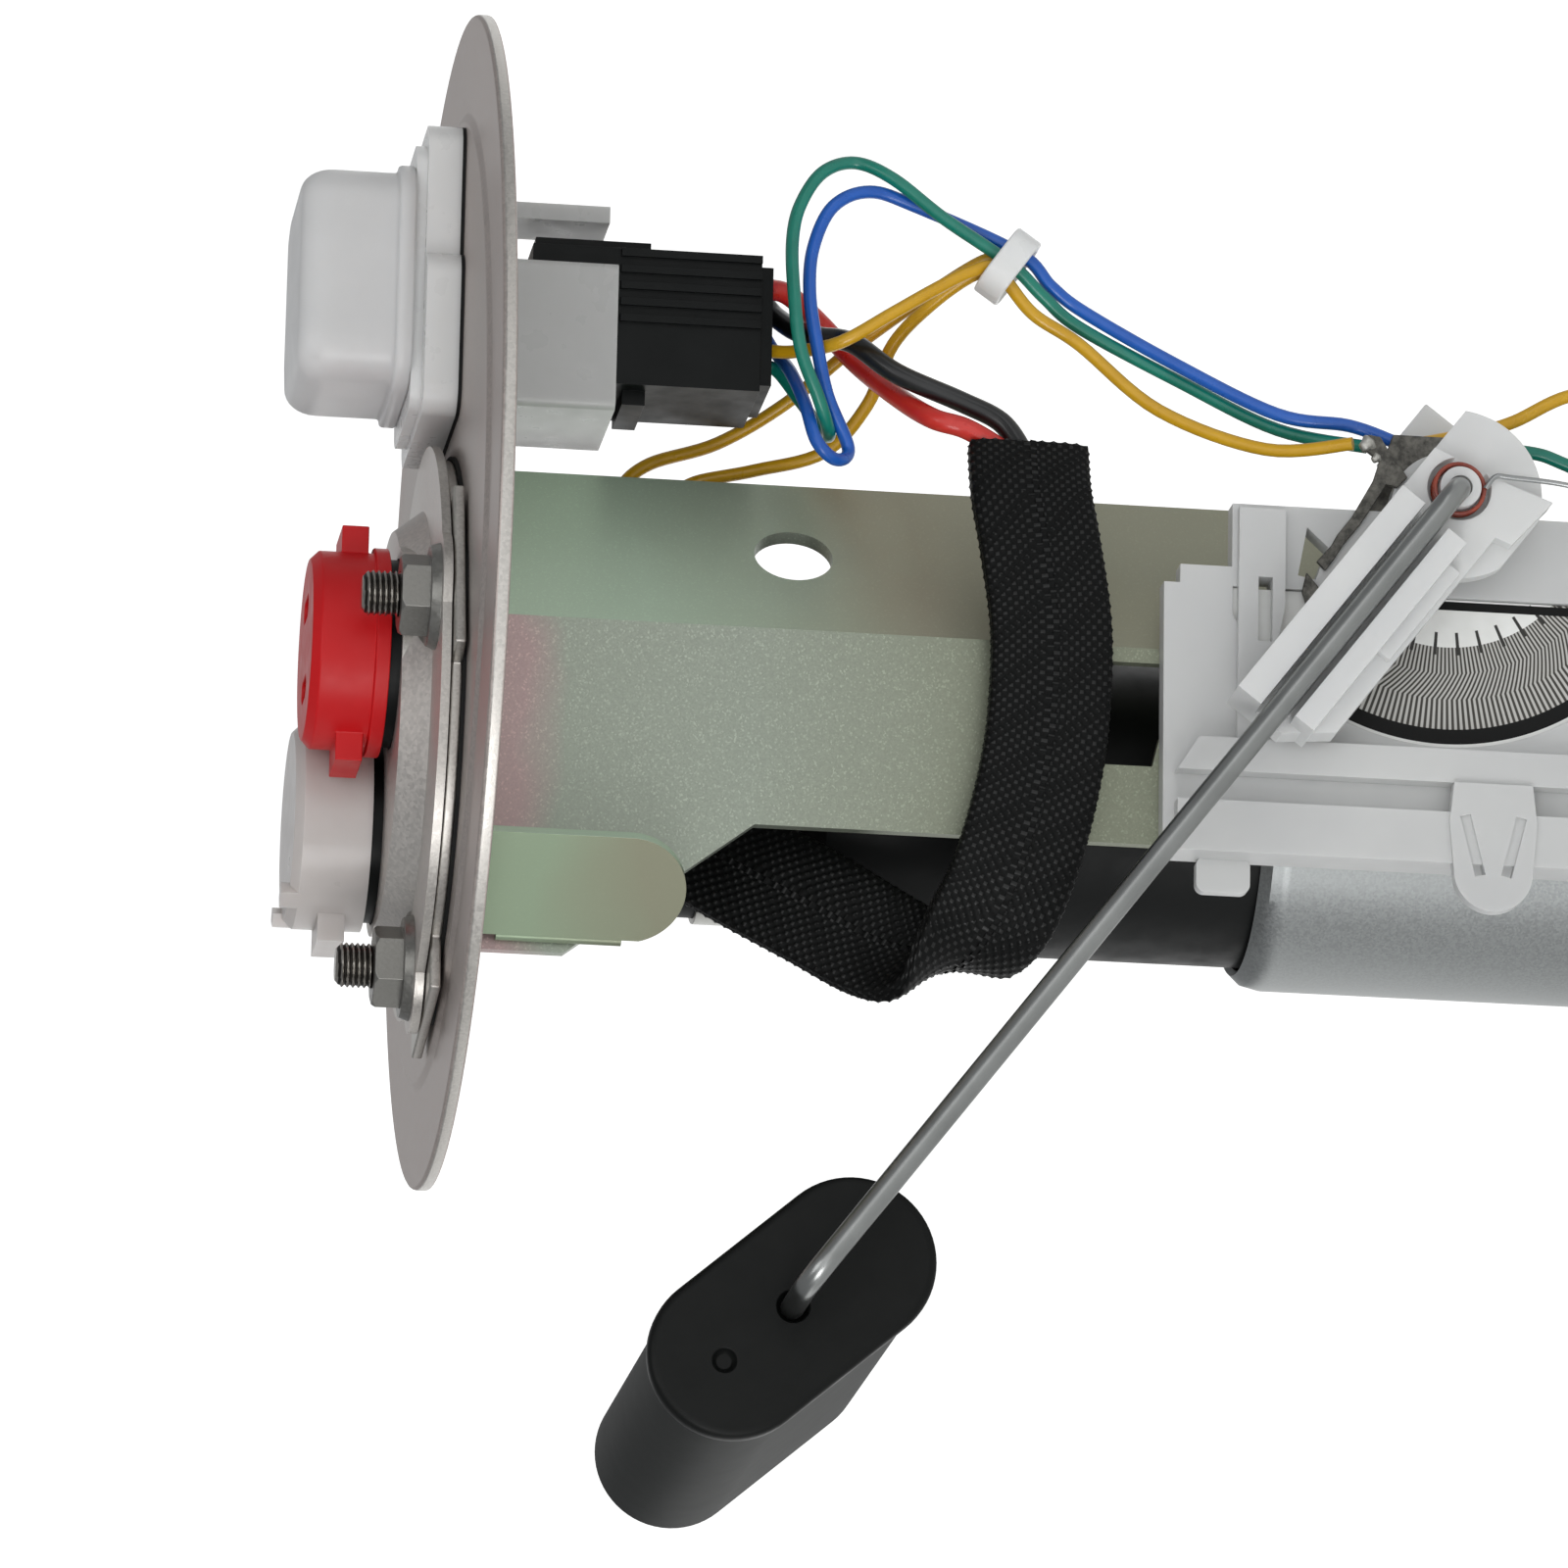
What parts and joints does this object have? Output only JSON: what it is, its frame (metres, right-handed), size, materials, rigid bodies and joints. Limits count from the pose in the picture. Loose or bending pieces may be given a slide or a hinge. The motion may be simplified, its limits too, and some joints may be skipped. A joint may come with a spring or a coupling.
{
  "type": "in-tank fuel pump module",
  "caption": "Fuel pump module with a round tank flange, capped ports, a bulkhead connector, a bent hanger bracket, an electric pump and a level sender with a float arm.",
  "frame": {"origin": "centre of the flange on its sealing face", "axes": "+Z out of the tank through the flange, +X towards the connector, -Y towards the level sender"},
  "size_m": [0.1657, 0.132, 0.2057],
  "materials": {
    "zinc_steel": "bright zinc plated, satin",
    "yellow_zinc": "yellow-green chromated zinc",
    "black_nylon": "moulded, satin",
    "natural_nylon": "moulded, translucent",
    "red_pe": "moulded, soft gloss",
    "white_acetal": "moulded, satin",
    "black_rubber": "moulded",
    "hose_rubber": "extruded",
    "can_steel": "silver lacquer over zinc",
    "stainless": "drawn, satin",
    "spring_steel": "drawn",
    "foam": "moulded closed-cell foam",
    "tin_brass": "tin plated",
    "brass": "stamped",
    "enamelled_copper": "enamelled",
    "ceramic": "printed ceramic",
    "ferrite": "sintered",
    "carbon": "pressed carbon",
    "laminate": "stacked sheet",
    "phenolic": "moulded",
    "die_cast": "die cast",
    "red_pvc": "extruded",
    "black_pvc": "extruded",
    "green_pvc": "extruded",
    "blue_pvc": "extruded",
    "yellow_pvc": "extruded",
    "woven": "woven and coated",
    "felt": "woven mesh"
  },
  "bodies": {
    "module": {"flange_plate": "zinc_steel", "port_gasket": "black_rubber", "stud_plate": "zinc_steel", "cover_studs": "zinc_steel", "port_body": "black_nylon", "port_cover": "zinc_steel", "cover_nuts": "zinc_steel", "supply_tube": "stainless", "return_tube": "stainless", "connector_body": "natural_nylon", "connector_seal": "black_rubber", "connector_pins": "brass", "harness_plug": "black_nylon", "bracket": "yellow_zinc", "locating_lug": "yellow_zinc", "supply_hose": "hose_rubber", "hose_clips": "spring_steel", "outlet_housing": "black_nylon", "pump_plug": "black_nylon", "check_valve_spring": "spring_steel", "pump_can": "can_steel", "pump_magnets": "ferrite", "pump_brushes": "carbon", "brush_springs": "spring_steel", "inlet_cover": "die_cast", "pump_isolator": "black_rubber", "pump_saddle": "black_rubber", "pump_clamp": "zinc_steel", "strainer_frame": "black_nylon", "strainer_sock": "felt", "sender_base": "white_acetal", "resistor_card": "ceramic", "sender_terminals": "tin_brass", "level_thermistor": "tin_brass", "harness_clip": "white_acetal", "pump_lead_sleeve": "woven", "red_lead": "red_pvc", "black_lead": "black_pvc", "green_lead": "green_pvc", "blue_lead": "blue_pvc", "yellow_lead": "yellow_pvc", "ground_leads": "yellow_pvc", "thermistor_leads": "yellow_pvc", "ground_tab": "tin_brass"},
    "lever": {"float_arm": "stainless", "arm_carrier": "white_acetal", "wiper": "brass", "arm_retainer": "white_acetal", "pivot_spring": "enamelled_copper", "float_clip": "spring_steel"},
    "float_body": {"float": "foam"},
    "return_cap_body": {"return_cap": "red_pe"},
    "supply_cap_body": {"supply_cap": "natural_nylon"},
    "dust_cap_body": {"connector_dust_cap": "natural_nylon"},
    "rotor_body": {"pump_rotor": "laminate", "impeller": "phenolic"},
    "valve_body": {"check_valve_poppet": "brass"}
  },
  "joints": [
    {"name": "float_lever_hinge", "type": "hinge", "parent": "module", "child": "lever", "pos_m": [0.0098, -0.024, -0.1079], "axis": [0, 1, 0], "range_deg": [-66, 2.8]},
    {"name": "float_swivel", "type": "hinge", "parent": "lever", "child": "float_body", "pos_m": [-0.08403, 0, -0.03668], "axis": [0, 1, 0], "continuous": true},
    {"name": "return_cap_pull", "type": "slide", "parent": "module", "child": "return_cap_body", "axis": [0, 0, 1], "range_m": [0, 0.012]},
    {"name": "supply_cap_pull", "type": "slide", "parent": "module", "child": "supply_cap_body", "axis": [0, 0, 1], "range_m": [0, 0.012]},
    {"name": "dust_cap_pull", "type": "slide", "parent": "module", "child": "dust_cap_body", "axis": [0, 0, 1], "range_m": [0, 0.014]},
    {"name": "rotor_spin", "type": "hinge", "parent": "module", "child": "rotor_body", "pos_m": [-0.0193, 0.003, -0.12], "axis": [0, 0, 1], "continuous": true},
    {"name": "check_valve_lift", "type": "slide", "parent": "module", "child": "valve_body", "axis": [0, 0, 1], "range_m": [0, 0.002], "deforming": ["check_valve_spring"]}
  ]
}
